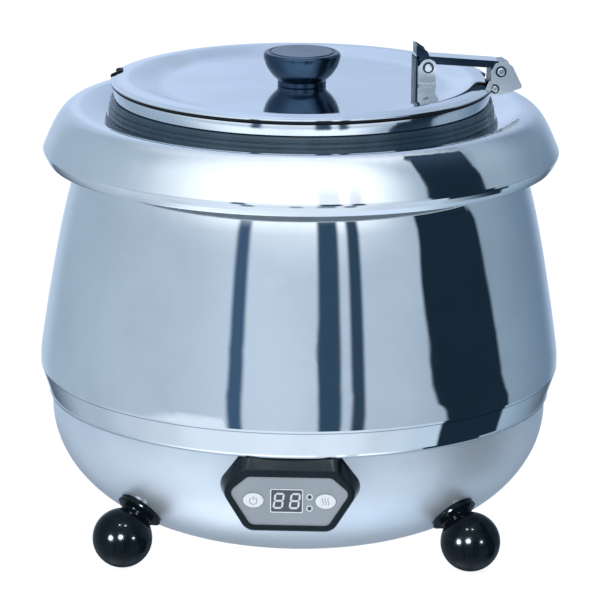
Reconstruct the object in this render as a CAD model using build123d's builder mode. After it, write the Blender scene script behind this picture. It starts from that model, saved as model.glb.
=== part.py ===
"""Electric soup kettle: polished steel casing, lift-out pot, hinged lid, control panel, ball feet.

Millimetres, +Z up, Z = 0 on the table, the kettle's axis is the Z axis, the panel faces -Y.
"""
from math import cos, sin, radians, sqrt, hypot
import os

from build123d import *

os.makedirs("parts", exist_ok=True)

# ---------------------------------------------------------------- driving dimensions
sheet = 1.0                      # steel sheet of pan, casing, collar, bath and pot

pan_floor_z = 2.0                # underside of the bowl at its lowest ring
pan_flat_r = 66.0                # where the bowl's side begins
pan_a, pan_b = 125.2, 94.0       # half width and depth of the bowl's elliptic side
pan_eq_z = pan_floor_z + pan_b   # where the side stands upright
pan_r = pan_flat_r + pan_a       # 191.2
pan_top_z = 104.5
pan_mid_z, pan_mid_r = 10.0, 53.0        # underside and radius of the raised centre

lip_profile = [                  # outside of the casing's rolled edge and inclined lip, upwards
    (192.3, 104.5), (193.5, 105.2), (193.9, 106.2), (193.4, 107.3), (199.75, 125.9)]
lip_inside = [(191.4, 105.5), (192.4, 107.7), (198.75, 126.4)]
shell_profile = [                # outside of the casing above its lip, upwards
    (200.3, 127.7), (200.3, 135.0), (199.7, 142.5), (198.5, 151.0), (194.9, 175.0),
    (190.9, 199.0), (186.8, 222.0), (181.9, 246.0), (177.4, 265.0), (174.9, 274.0),
    (172.5, 281.2), (169.9, 287.6), (166.5, 294.4), (164.8, 297.6)]
shell_top_z = 321.0

collar_profile = [               # top side of the collar, from the rim ring outwards
    (148.6, 323.0), (152.4, 324.4), (158.0, 326.3), (165.0, 328.2), (172.0, 329.1),
    (178.5, 327.8), (184.8, 322.4), (190.9, 312.4), (195.0, 303.4), (197.5, 297.6)]
collar_hem = [                   # turned-in lower edge of the collar, onwards from its side
    (197.9, 296.3), (197.5, 294.9), (196.2, 291.8), (194.6, 288.9), (193.8, 287.8)]

ring_in_r = 139.6
ring_low_z, ring_top_z = 323.0, 335.3

well_r = 143.0                   # inside radius of the water bath
well_floor_z = 128.0
well_corner = 12.0

pot_r = 138.0                    # outside radius of the pot
pot_floor_z = 150.0
pot_base = 1.8                   # thickness of the pot's flat base
band_r = 144.5                   # outside radius of the pot's rim band, at its top
band_slope = 0.8                 # how much narrower the band is at its foot
band_low_z, band_top_z = 335.6, 345.2

lid_r = 146.1
lid_floor_z = 345.0              # top side of the lid's sunk centre
lid_profile = [                  # top side of the lid's raised flange
    (106.0, 345.0), (112.0, 345.4), (118.0, 346.6), (124.0, 348.5), (129.0, 350.0),
    (133.5, 350.6), (138.5, 350.2), (142.6, 349.4), (145.4, 348.5), (146.1, 347.9)]
lid_lip_z = 347.5
knob_top_z = 371.0
notch_az = 173.0                 # ladle notch in the lid's edge
notch_rho, notch_r = 153.6, 12.0 # its centre and radius
notch_rim = 2.2                  # width of the trim around it

hinge_az = 9.0                   # hinge direction, measured from +X towards +Y
pivot_rho, pivot_z = 152.5, 354.8        # pin between arm and bracket
lid_pin_rho, lid_pin_z = 96.0, 358.8     # pin between arm and lid
arm_half = 8.8                   # half width of the arm
arm_sheet = 1.2
plate_in, plate_out = 9.5, 11.0  # side plates of both brackets
pin_r = 2.0
pin_play = 0.05                  # radial clearance of a turning pin

ball_r = 22.6
foot_rho, foot_z = 185.5, 22.2   # ball centre
foot_seat = (166.9, 40.7)        # where the foot's axis meets the pan
# directions of the feet, turned 1.5 degrees against the panel
foot_names = {"front_left_foot": 226.5, "front_right_foot": 316.5,
              "rear_left_foot": 136.5, "rear_right_foot": 46.5}

stud_pcd_r = 44.0
stud_az = (30.0, 150.0, 270.0)

face_y = 197.0                   # the panel's front plane stands this far in front of the axis
fascia_y = 196.2                 # front of the grey fascia
fascia_t = 2.0
board_y = 187.5                  # front of the circuit board
board_t = 1.6
button_x, button_z = 26.6, 73.5
button_l, button_h = 15.4, 11.3  # oval buttons
button_front_y = 197.2
window_x, window_z = -2.1, 73.4
window_l, window_h = 23.6, 17.6
lamp_x, lamp_zs = 14.8, (76.6, 67.8)

gland_z = 85.0
gland_bore = 3.6


# ---------------------------------------------------------------- helpers
def left_of(points, t):
    """Points moved t to the left of their direction of travel."""
    out = []
    for i, (x, y) in enumerate(points):
        x0, y0 = points[max(i - 1, 0)]
        x1, y1 = points[min(i + 1, len(points) - 1)]
        dx, dy = x1 - x0, y1 - y0
        n = hypot(dx, dy)
        out.append((x - t * dy / n, y + t * dx / n))
    return out


def radial_plane(az):
    """Upright plane through the axis: local x runs outwards, local y runs up."""
    c, s = cos(radians(az)), sin(radians(az))
    return Plane(origin=(0, 0, 0), x_dir=(c, s, 0), z_dir=(s, -c, 0))


def polar(r, az, z):
    return (r * cos(radians(az)), r * sin(radians(az)), z)


def save(builder, name):
    builder.part.label = name
    export_step(builder.part, f"parts/{name}.step")


def front(d):
    """Upright plane d in front of the axis: local x is X, local y is Z, normal is -Y."""
    return Plane.XZ.offset(d)


hinge = radial_plane(hinge_az)


# ---------------------------------------------------------------- envelope of the pan (a tool)
with BuildPart() as pan_outside:
    with BuildSketch(Plane.XZ):
        with BuildLine():
            Line((0, pan_floor_z), (pan_flat_r, pan_floor_z))
            EllipticalCenterArc((pan_flat_r, pan_eq_z), pan_a, pan_b, start_angle=270, arc_size=90)
            Line((pan_r, pan_eq_z), (pan_r, 140))
            Line((pan_r, 140), (0, 140))
            Line((0, 140), (0, pan_floor_z))
        make_face()
    revolve(axis=Axis.Z)

# outlines of the panel, half side: (x, z) of top, middle and bottom corners
bezel_front = [(34.6, 96.6), (50.2, 80.2), (31.6, 49.9)]
bezel_back = [(37.0, 138.5), (59.6, 84.0), (35.6, 46.8)]
bezel_top_z = 104.2
fascia_outline = [(30.9, 91.6), (44.6, 79.9), (28.6, 54.6)]
skirt_outer = [(29.9, 90.6), (43.2, 79.7), (27.6, 55.6)]
skirt_inner = [(28.9, 88.4), (40.4, 79.2), (26.3, 57.8)]
pan_cutout = [(30.1, 91.0), (43.7, 79.8), (27.8, 55.2)]
board_outline = [(28.3, 87.8), (39.6, 79.2), (25.8, 58.4)]
board_holes = [(-36.4, 79.6), (36.4, 79.6), (0.0, 60.8)]


def hexagon(half):
    """Closed outline from its right half."""
    left = [(-x, z) for x, z in reversed(half)]
    return half + left


# foot axis, in the upright plane through the foot: unit vector and its normal
fx, fz = foot_rho - foot_seat[0], foot_z - foot_seat[1]
foot_len = hypot(fx, fz)
fd = (fx / foot_len, fz / foot_len)
fn = (-fd[1], fd[0])


def foot_point(u, w):
    """Local point u along the foot's axis from its seat and w off the axis."""
    return (foot_seat[0] + u * fd[0] + w * fn[0], foot_seat[1] + u * fd[1] + w * fn[1])


def foot_axis(az):
    p0, p1 = foot_point(0, 0), foot_point(1, 0)
    a, b = Vector(*polar(p0[0], az, p0[1])), Vector(*polar(p1[0], az, p1[1]))
    return Axis(a, b - a)


# ---------------------------------------------------------------- base pan
with BuildPart() as base_pan:
    with BuildSketch(Plane.XZ):
        with BuildLine():
            Polyline((0, pan_mid_z), (pan_mid_r, pan_mid_z), (pan_mid_r + 6.0, pan_floor_z),
                     (pan_flat_r, pan_floor_z))
            EllipticalCenterArc((pan_flat_r, pan_eq_z), pan_a, pan_b, start_angle=270, arc_size=90)
            Line((pan_r, pan_eq_z), (pan_r, pan_top_z))
            Line((pan_r, pan_top_z), (pan_r - sheet, pan_top_z))
            Line((pan_r - sheet, pan_top_z), (pan_r - sheet, pan_eq_z))
            EllipticalCenterArc((pan_flat_r, pan_eq_z), pan_a - sheet, pan_b - sheet,
                                start_angle=270, arc_size=90)
            Polyline((pan_flat_r, pan_floor_z + sheet), (pan_mid_r + 6.6, pan_floor_z + sheet),
                     (pan_mid_r + 0.6, pan_mid_z + sheet), (0, pan_mid_z + sheet), (0, pan_mid_z))
        make_face()
    revolve(axis=Axis.Z)
    # panel cut-out
    with BuildSketch(front(160)):
        with BuildLine():
            FilletPolyline(*hexagon(pan_cutout), radius=3, close=True)
        make_face()
    extrude(amount=40, mode=Mode.SUBTRACT)
    # cord gland hole
    with BuildSketch(Plane.XZ.offset(-170)):
        with Locations((0, gland_z)):
            Circle(8.7)
    extrude(amount=-30, mode=Mode.SUBTRACT)
    # stud holes
    with BuildSketch(Plane.XY):
        with PolarLocations(stud_pcd_r, 3, start_angle=stud_az[0]):
            Circle(3.2)
    extrude(amount=15, mode=Mode.SUBTRACT)
    # foot screw holes
    for az in foot_names.values():
        with BuildSketch(radial_plane(az)):
            with BuildLine():
                Polyline(foot_point(-8, 0), foot_point(-8, 3.2), foot_point(6, 3.2),
                         foot_point(6, 0), close=True)
            make_face()
        revolve(axis=foot_axis(az), mode=Mode.SUBTRACT)
save(base_pan, "base_pan")

# ---------------------------------------------------------------- casing
shell_inside = left_of(shell_profile, sheet)
with BuildPart() as body_shell:
    with BuildSketch(Plane.XZ):
        with BuildLine():
            Polyline((186.5, pan_top_z), *lip_profile, shell_profile[0])
            Spline(*shell_profile, tangents=[(0.0, 1.0), (-0.53, 1.0)])
            Polyline(shell_profile[-1], (164.2, 317.8), (161.2, shell_top_z), (147.0, shell_top_z),
                     (147.0, shell_top_z - sheet), (160.7, shell_top_z - sheet), (163.2, 317.4),
                     shell_inside[-1])
            Spline(*reversed(shell_inside))
            Polyline(shell_inside[0], *reversed(lip_inside), (186.5, pan_top_z + sheet),
                     (186.5, pan_top_z))
        make_face()
    revolve(axis=Axis.Z)
save(body_shell, "body_shell")

# ---------------------------------------------------------------- collar
collar_inside = left_of(collar_profile + collar_hem, -sheet)
hem_inside = collar_inside[len(collar_profile):]
collar_inside = collar_inside[:len(collar_profile)]
with BuildPart() as collar:
    with BuildSketch(Plane.XZ):
        with BuildLine():
            Line((143.6, 323.0), collar_profile[0])
            Spline(*collar_profile)
            Polyline(collar_profile[-1], *collar_hem, *reversed(hem_inside), collar_inside[-1])
            Spline(*reversed(collar_inside))
            Polyline(collar_inside[0], (148.2, 322.0), (143.6, 322.0), (143.6, 323.0))
        make_face()
    revolve(axis=Axis.Z)
save(collar, "collar")

# ---------------------------------------------------------------- black ribbed rim ring
with BuildPart() as rim_ring:
    with BuildSketch(Plane.XZ):
        with BuildLine():
            Polyline(
                (ring_in_r, ring_low_z), (147.4, ring_low_z), (147.9, 323.5), (148.0, 325.6),
                (147.7, 326.3), (147.0, 326.6), (146.8, 327.1), (147.3, 327.6), (147.4, 329.2),
                (147.0, 330.0), (146.0, 330.3), (145.8, 330.8), (146.3, 331.3), (146.3, 333.8),
                (145.8, 334.7), (145.2, ring_top_z), (ring_in_r, ring_top_z), close=True)
        make_face()
    revolve(axis=Axis.Z)
save(rim_ring, "rim_ring")

# ---------------------------------------------------------------- water bath
with BuildPart() as water_well:
    with BuildSketch(Plane.XZ):
        c = (well_r - well_corner, well_floor_z + well_corner)
        with BuildLine():
            Line((151.5, 322.0), (well_r, 322.0))
            Line((well_r, 322.0), (well_r, c[1]))
            CenterArc(c, well_corner, 0, -90)
            Line((c[0], well_floor_z), (0, well_floor_z))
            Line((0, well_floor_z), (0, well_floor_z - sheet))
            Line((0, well_floor_z - sheet), (c[0], well_floor_z - sheet))
            CenterArc(c, well_corner + sheet, -90, 90)
            Line((well_r + sheet, c[1]), (well_r + sheet, 321.0))
            Line((well_r + sheet, 321.0), (151.5, 321.0))
            Line((151.5, 321.0), (151.5, 322.0))
        make_face()
    revolve(axis=Axis.Z)
save(water_well, "water_well")

# ---------------------------------------------------------------- heater and studs
plate_top = well_floor_z - sheet          # 127
plate_low = plate_top - 4.0
with BuildPart() as heater_plate:
    with BuildSketch(Plane.XY.offset(plate_low)):
        Circle(95)
        with PolarLocations(stud_pcd_r, 3, start_angle=stud_az[0]):
            Circle(3.2, mode=Mode.SUBTRACT)
    extrude(amount=4.0)
save(heater_plate, "heater_plate")

tube_r = 4.0
tube_z = plate_low - tube_r
with BuildPart() as heater_element:
    with BuildLine() as element_path:
        CenterArc((0, 0, tube_z), 75, -75, 330)
    with BuildSketch(Plane(origin=element_path.line @ 0, z_dir=element_path.line % 0)):
        Circle(tube_r)
    sweep(path=element_path.line)
    for az in (-75, 255):
        with BuildSketch(Plane.XY.offset(tube_z)):
            with Locations(polar(75, az, 0)[:2]):
                Circle(tube_r - 0.6)
        extrude(amount=-16)
save(heater_element, "heater_element")

with BuildPart() as heater_nuts:
    with BuildSketch(Plane.XY.offset(plate_low - 4.0)):
        with PolarLocations(stud_pcd_r, 3, start_angle=stud_az[0]):
            RegularPolygon(5.0, 6, major_radius=False)
            Circle(3.0, mode=Mode.SUBTRACT)
    extrude(amount=4.0)
save(heater_nuts, "heater_nuts")

with BuildPart() as tie_studs:
    with BuildSketch(Plane.XY.offset(pan_mid_z - 4.4)):
        with PolarLocations(stud_pcd_r, 3, start_angle=stud_az[0]):
            Circle(3.0)
    extrude(amount=plate_top - pan_mid_z + 4.4)
save(tie_studs, "tie_studs")

with BuildPart() as tie_nuts:
    with BuildSketch(Plane.XY.offset(pan_mid_z - 4.0)):
        with PolarLocations(stud_pcd_r, 3, start_angle=stud_az[0]):
            RegularPolygon(5.0, 6, major_radius=False)
            Circle(3.0, mode=Mode.SUBTRACT)
    extrude(amount=4.0)
save(tie_nuts, "tie_nuts")

with BuildPart() as thermal_cutout:
    with BuildSketch(Plane.XY.offset(plate_low - 9.0)):
        with Locations((0, 22)):
            Circle(8.5)
    extrude(amount=9.0)
    with BuildSketch(Plane.XY.offset(plate_low - 17.0)):
        with Locations((-3.5, 22), (3.5, 22)):
            Rectangle(0.8, 6.3)
    extrude(amount=8.0)
save(thermal_cutout, "thermal_cutout")

with BuildPart() as temperature_probe:
    with BuildSketch(Plane.XY.offset(plate_low - 7.0)):
        with Locations((0, -24)):
            Circle(5.0)
    extrude(amount=7.0)
    with BuildSketch(Plane.XY.offset(plate_low - 15.0)):
        with Locations((0, -24)):
            Circle(2.2)
    extrude(amount=8.0)
save(temperature_probe, "temperature_probe")

# ---------------------------------------------------------------- control panel
with BuildPart() as control_bezel:
    with BuildSketch(front(face_y)):
        with BuildLine():
            FilletPolyline(*hexagon(bezel_front), radius=10, close=True)
        make_face()
    with BuildSketch(front(165)):
        with BuildLine():
            FilletPolyline(*hexagon(bezel_back), radius=24, close=True)
        make_face()
    loft()
    front_edges = control_bezel.faces().sort_by(Axis.Y)[0].edges()
    fillet(front_edges, radius=2.4)
    add(pan_outside.part, mode=Mode.SUBTRACT)
    # its top tucks in under the casing's lip
    with Locations((0, -180, bezel_top_z + 20)):
        Box(200, 80, 40, mode=Mode.SUBTRACT)
    # skirt through the pan's cut-out
    with BuildSketch(front(174)):
        with BuildLine():
            FilletPolyline(*hexagon(skirt_outer), radius=2.6, close=True)
        make_face()
    extrude(amount=face_y - 2 - 174)
    # snap hooks behind the pan's wall
    with Locations((-40.2, -177.6, 74), (40.2, -177.6, 74)):
        Box(3.4, 3.6, 6)
    # room for the fascia, then for the board
    with BuildSketch(front(fascia_y - fascia_t)):
        with BuildLine():
            FilletPolyline(*hexagon(fascia_outline), radius=5.4, close=True)
        make_face()
    extrude(amount=10, mode=Mode.SUBTRACT)
    with BuildSketch(front(170)):
        with BuildLine():
            FilletPolyline(*hexagon(skirt_inner), radius=2, close=True)
        make_face()
    extrude(amount=30, mode=Mode.SUBTRACT)
    # board posts
    with BuildSketch(front(board_y)):
        with Locations(board_holes[0], board_holes[1]):
            Circle(3.4)
        with Locations(board_holes[2]):
            Circle(3.4)
        with BuildLine():
            FilletPolyline(*hexagon(skirt_outer), radius=2.6, close=True)
        make_face(mode=Mode.INTERSECT)
        with Locations(*board_holes):
            Circle(1.25, mode=Mode.SUBTRACT)
    extrude(amount=fascia_y - fascia_t - board_y)
save(control_bezel, "control_bezel")

with BuildPart() as control_fascia:
    with BuildSketch(front(fascia_y - fascia_t)):
        with BuildLine():
            FilletPolyline(*hexagon(fascia_outline), radius=5.4, close=True)
        make_face()
        with Locations((-button_x, button_z), (button_x, button_z)):
            Ellipse(button_l / 2 + 0.3, button_h / 2 + 0.3, mode=Mode.SUBTRACT)
        with Locations((window_x, window_z)):
            RectangleRounded(window_l, window_h, 1.0, mode=Mode.SUBTRACT)
        with Locations(*[(lamp_x, z) for z in lamp_zs]):
            Circle(1.5, mode=Mode.SUBTRACT)
    extrude(amount=fascia_t)
save(control_fascia, "control_fascia")

with BuildPart() as display_window:
    with BuildSketch(front(fascia_y - 1.8)):
        with Locations((window_x, window_z)):
            RectangleRounded(window_l, window_h, 1.0)
    extrude(amount=2.1)
save(display_window, "display_window")

with BuildPart() as display_module:
    with BuildSketch(front(board_y)):
        with Locations((window_x, window_z)):
            Rectangle(22.6, 16.0)
    extrude(amount=6.6)
save(display_module, "display_module")

with BuildPart() as indicator_lights:
    with BuildSketch(front(board_y)):
        with Locations(*[(lamp_x, z) for z in lamp_zs]):
            Circle(1.5)
    extrude(amount=fascia_y + 0.3 - board_y)
save(indicator_lights, "indicator_lights")

with BuildPart() as control_board:
    with BuildSketch(front(board_y - board_t)):
        with BuildLine():
            FilletPolyline(*hexagon(board_outline), radius=2, close=True)
        make_face()
        with Locations(*board_holes):
            Circle(1.4, mode=Mode.SUBTRACT)
    extrude(amount=board_t)
save(control_board, "control_board")

with BuildPart() as board_screws:
    with BuildSketch(front(board_y - board_t)):
        with Locations(*board_holes):
            Circle(1.25)
    extrude(amount=7.0)
    with BuildSketch(front(board_y - board_t - 1.8)):
        with Locations(*board_holes):
            Circle(2.0)
    extrude(amount=1.8)
save(board_screws, "board_screws")

with BuildPart() as power_relay:
    with Locations((19, -(board_y - board_t - 7.5), 73)):
        Box(18, 15, 14)
save(power_relay, "power_relay")

with BuildPart() as button_switches:
    for x in (-button_x, button_x):
        with BuildSketch(front(board_y)):
            with Locations((x, button_z)):
                Rectangle(6, 6)
        extrude(amount=3.4)
        with BuildSketch(front(board_y + 3.4)):
            with Locations((x, button_z)):
                Circle(1.7)
        extrude(amount=0.5)
save(button_switches, "button_switches")

flange_front = fascia_y - fascia_t - 0.2
for name, x in (("power_button", -button_x), ("set_button", button_x)):
    with BuildPart() as button:
        with BuildSketch(front(flange_front - 1.2)):
            with Locations((x, button_z)):
                Ellipse(button_l / 2 + 0.9, button_h / 2 + 0.9)
        extrude(amount=1.2)
        with BuildSketch(front(flange_front)):
            with Locations((x, button_z)):
                Ellipse(button_l / 2, button_h / 2)
        extrude(amount=button_front_y - flange_front)
        fillet(button.faces().sort_by(Axis.Y)[0].edges(), radius=0.7)
        with BuildSketch(front(flange_front - 1.7)):
            with Locations((x, button_z)):
                Circle(2.2)
        extrude(amount=0.5)
    save(button, name)

# ---------------------------------------------------------------- cord entry and wiring
with BuildPart() as cord_gland:
    with BuildSketch(Plane.XZ.offset(-160)):
        with Locations((0, gland_z)):
            Circle(12.5)
    extrude(amount=-35.5)
    fillet(cord_gland.faces().sort_by(Axis.Y)[-1].edges(), radius=2.0)
    add(pan_outside.part, mode=Mode.SUBTRACT)
    with BuildSketch(Plane.XZ.offset(-173)):
        with Locations((0, gland_z)):
            Circle(8.5)
    extrude(amount=-18)
    with BuildSketch(Plane.XZ.offset(-160)):
        with Locations((0, gland_z)):
            Circle(gland_bore)
    extrude(amount=-50, mode=Mode.SUBTRACT)
save(cord_gland, "cord_gland")

with BuildPart() as gland_nut:
    with BuildSketch(Plane.XZ.offset(-180)):
        with Locations((0, gland_z)):
            RegularPolygon(11.0, 6, major_radius=False)
            Circle(8.5, mode=Mode.SUBTRACT)
    extrude(amount=-5.4)
save(gland_nut, "gland_nut")

with BuildPart() as terminal_block:
    with Locations((0, 38, pan_mid_z + sheet + 7.5)):
        Box(40, 18, 15)
    with BuildSketch(Plane.XY.offset(pan_mid_z + sheet + 15)):
        with Locations((-13, 38), (0, 38), (13, 38)):
            Circle(2.4)
    extrude(amount=-6, mode=Mode.SUBTRACT)
save(terminal_block, "terminal_block")


def lead(points, r):
    """One insulated wire along a smooth path."""
    with BuildPart(mode=Mode.PRIVATE) as wire:
        with BuildLine() as path:
            Spline(*points)
        with BuildSketch(Plane(origin=path.line @ 0, z_dir=path.line % 0)):
            Circle(r)
        sweep(path=path.line)
    return wire.part


supply_routes = [[(s * 5, 152, 68), (s * 6, 128, 50), (s * 9, 88, 30), (s * 13, 48, 20)]
                 for s in (-1, 1)]
board_routes = [[(s * 13, 28.2, 18), (s * 14, -30, 20), (s * 12, -110, 40), (s * 12, -183.6, 63)]
                for s in (-1, 1)]
heater_routes = [[polar(75, az, tube_z - 18.0), (s * 20, -100, 92), (s * 9 + 12, -150, 80),
                  (s * 5 + 19, -170.2, 74)]
                 for s, az in ((1, -75), (-1, 255))]
with BuildPart() as supply_leads:
    for route in supply_routes + board_routes:
        add(lead(route, 1.3))
save(supply_leads, "supply_leads")
with BuildPart() as heater_leads:
    for route in heater_routes:
        add(lead(route, 1.3))
save(heater_leads, "heater_leads")

# ---------------------------------------------------------------- ball feet
for name, az in foot_names.items():
    with BuildPart() as foot:
        with BuildSketch(radial_plane(az)):
            with BuildLine():
                Polyline(foot_point(-9, 0), foot_point(-9, 17.4), foot_point(0.9, 17.6),
                         foot_point(1.7, 18.2), foot_point(2.6, 18.0), foot_point(4.0, 15.8),
                         foot_point(5.4, 13.6), foot_point(7.2, 12.2), foot_point(9.5, 11.8),
                         foot_point(9.5, 0), close=True)
            make_face()
        revolve(axis=foot_axis(az))
        with Locations(polar(foot_rho, az, foot_z)):
            Sphere(ball_r)
        add(pan_outside.part, mode=Mode.SUBTRACT)
        with Locations((0, 0, -20)):
            Box(600, 600, 40, mode=Mode.SUBTRACT)
        with BuildSketch(radial_plane(az)):
            with BuildLine():
                Polyline(foot_point(-8, 0), foot_point(-8, 3.0), foot_point(18, 3.0),
                         foot_point(18, 0), close=True)
            make_face()
        revolve(axis=foot_axis(az), mode=Mode.SUBTRACT)
    save(foot, name)

with BuildPart() as foot_screws:
    for az in foot_names.values():
        with BuildSketch(radial_plane(az)):
            with BuildLine():
                Polyline(foot_point(-6.8, 0), foot_point(-6.8, 4.6), foot_point(-6.2, 5.2),
                         foot_point(-3.0, 5.2), foot_point(-3.0, 3.0), foot_point(16, 3.0),
                         foot_point(16, 0), close=True)
            make_face()
        revolve(axis=foot_axis(az))
save(foot_screws, "foot_screws")

with BuildPart() as foot_washers:
    for az in foot_names.values():
        with BuildSketch(radial_plane(az)):
            with BuildLine():
                Polyline(foot_point(-3.0, 3.2), foot_point(-3.0, 8.0), foot_point(-1.5, 8.0),
                         foot_point(-1.5, 3.2), close=True)
            make_face()
        revolve(axis=foot_axis(az))
save(foot_washers, "foot_washers")

# ---------------------------------------------------------------- pot
pot_seam_z = pot_floor_z + sheet         # weld between base and wall
with BuildPart() as pot_floor:
    with BuildSketch(Plane.XY.offset(pot_seam_z)):
        Circle(pot_r)
    extrude(amount=-pot_base)
    fillet(pot_floor.edges().sort_by(Axis.Z)[0], radius=1.4)
save(pot_floor, "pot_floor")

with BuildPart() as inner_pot:
    with BuildSketch(Plane.XZ):
        with BuildLine():
            Polyline((pot_r, pot_seam_z), (pot_r, band_low_z), (band_r - band_slope - 0.8, band_low_z),
                     (band_r - band_slope, band_low_z + 0.8), (band_r, band_top_z - 0.7),
                     (band_r - 0.7, band_top_z), (band_r - 1.7, band_top_z),
                     (band_r - 2.3, band_top_z - 0.6), (band_r - 2.3, band_top_z - 1.6),
                     (band_r - sheet, band_top_z - 2.2),
                     (band_r - band_slope - sheet, band_low_z + sheet + 0.4),
                     (band_r - band_slope - sheet - 0.4, band_low_z + sheet),
                     (pot_r - sheet, band_low_z + sheet), (pot_r - sheet, pot_seam_z), close=True)
        make_face()
    revolve(axis=Axis.Z)
save(inner_pot, "inner_pot")

clip_pin_rho, clip_pin_z = 147.9, 341.4
with BuildPart() as rim_clip:
    with BuildSketch(Plane.XY.offset(336.0)):
        Circle(146.0)
        Circle(band_r, mode=Mode.SUBTRACT)
        with Locations(polar(145, hinge_az, 0)[:2]):
            Rectangle(12, 18.4, rotation=hinge_az, mode=Mode.INTERSECT)
    extrude(amount=9.4)
    with BuildSketch(hinge):
        with Locations((clip_pin_rho, clip_pin_z)):
            Circle(3.0)
            Circle(1.6, mode=Mode.SUBTRACT)
    extrude(amount=9.2, both=True)
save(rim_clip, "rim_clip")

with BuildPart() as hinge_bracket:
    with BuildSketch(hinge.offset(plate_in)):
        with BuildLine():
            FilletPolyline((144.9, 336.4), (154.0, 336.9), (169.8, 342.0), (161.6, 358.8),
                           (156.4, 362.2), (148.0, 361.4), (144.9, 354.0),
                           radius=[1.5, 4, 2, 3, 3, 3, 3], close=True)
        make_face()
        with Locations((pivot_rho, pivot_z)):
            Circle(pin_r, mode=Mode.SUBTRACT)
        with Locations((clip_pin_rho, clip_pin_z)):
            Circle(1.6, mode=Mode.SUBTRACT)
    extrude(amount=plate_out - plate_in)
    with BuildSketch(hinge.offset(-plate_out)):
        with BuildLine():
            FilletPolyline((144.9, 336.4), (154.0, 336.9), (169.8, 342.0), (161.6, 358.8),
                           (156.4, 362.2), (148.0, 361.4), (144.9, 354.0),
                           radius=[1.5, 4, 2, 3, 3, 3, 3], close=True)
        make_face()
        with Locations((pivot_rho, pivot_z)):
            Circle(pin_r, mode=Mode.SUBTRACT)
        with Locations((clip_pin_rho, clip_pin_z)):
            Circle(1.6, mode=Mode.SUBTRACT)
    extrude(amount=plate_out - plate_in)
    # slanted outer web, the arm's stop when the lid is open
    with BuildSketch(hinge):
        with BuildLine():
            Polyline((168.8, 343.8), (164.1, 353.5), (162.7, 352.9), (167.4, 343.2), close=True)
        make_face()
    extrude(amount=plate_in + 0.2, both=True)
save(hinge_bracket, "hinge_bracket")


def riveted_pin(rho, z, r, half, head_r, head_t):
    """Cross pin with a flat collar and a domed head at each end."""
    with BuildPart(mode=Mode.PRIVATE) as pin:
        with BuildSketch(hinge):
            with Locations((rho, z)):
                Circle(r)
        extrude(amount=half, both=True)
        for sign in (1, -1):
            with BuildSketch(hinge.offset(sign * half)):
                with Locations((rho, z)):
                    Circle(head_r)
            extrude(amount=sign * 0.5)
            with BuildSketch(hinge.offset(sign * (half + 0.5))):
                with Locations((rho, z)):
                    Circle(head_r * 0.72)
            extrude(amount=sign * (head_t - 0.5))
        ends = pin.faces().filter_by(GeomType.PLANE).sort_by(Axis.Y)
        fillet([ends[0].edges()[0], ends[-1].edges()[0]], radius=(head_t - 0.5) * 0.8)
    return pin.part


with BuildPart() as clip_pin:
    add(riveted_pin(clip_pin_rho, clip_pin_z, 1.6, plate_out, 3.6, 1.8))
save(clip_pin, "clip_pin")
with BuildPart() as arm_pivot_pin:
    add(riveted_pin(pivot_rho, pivot_z, pin_r, plate_out, 4.3, 1.9))
save(arm_pivot_pin, "arm_pivot_pin")

# ---------------------------------------------------------------- hinge arm
with BuildPart() as hinge_arm:
    # bent web: raised end tab, top, turned-down tail
    with BuildSketch(hinge):
        with BuildLine():
            Polyline((87.0, 375.6), (88.3, 375.6), (88.9, 367.9), (150.0, 362.7), (156.5, 358.6),
                     (155.8, 357.6), (149.6, 361.5), (89.2, 366.6), (87.0, 368.4), close=True)
        make_face()
    extrude(amount=arm_half, both=True)
    # side flanges with a lug for each pin and a cheek beside the tab
    for sign in (1, -1):
        with BuildSketch(hinge.offset(sign * (arm_half - arm_sheet))):
            with BuildLine():
                Polyline((87.2, 375.2), (89.4, 375.2), (95.4, 371.2), (97.4, 366.6),
                         (150.0, 362.4), (156.2, 358.4), (156.6, 355.4), (148.6, 353.0),
                         (146.8, 357.4), (101.6, 360.9), (100.2, 355.8), (91.8, 355.8),
                         (89.7, 358.4), (89.7, 366.9), (87.2, 367.8), close=True)
            make_face()
            with Locations((pivot_rho, pivot_z)):
                Circle(4.4)
            with Locations((lid_pin_rho, lid_pin_z)):
                Circle(5.2)
            with Locations((pivot_rho, pivot_z)):
                Circle(pin_r + pin_play, mode=Mode.SUBTRACT)
            with Locations((lid_pin_rho, lid_pin_z)):
                Circle(pin_r, mode=Mode.SUBTRACT)
        extrude(amount=sign * arm_sheet)
save(hinge_arm, "hinge_arm")

with BuildPart() as lid_pivot_pin:
    add(riveted_pin(lid_pin_rho, lid_pin_z, pin_r, plate_out + 0.3, 4.3, 1.9))
save(lid_pivot_pin, "lid_pivot_pin")

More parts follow.
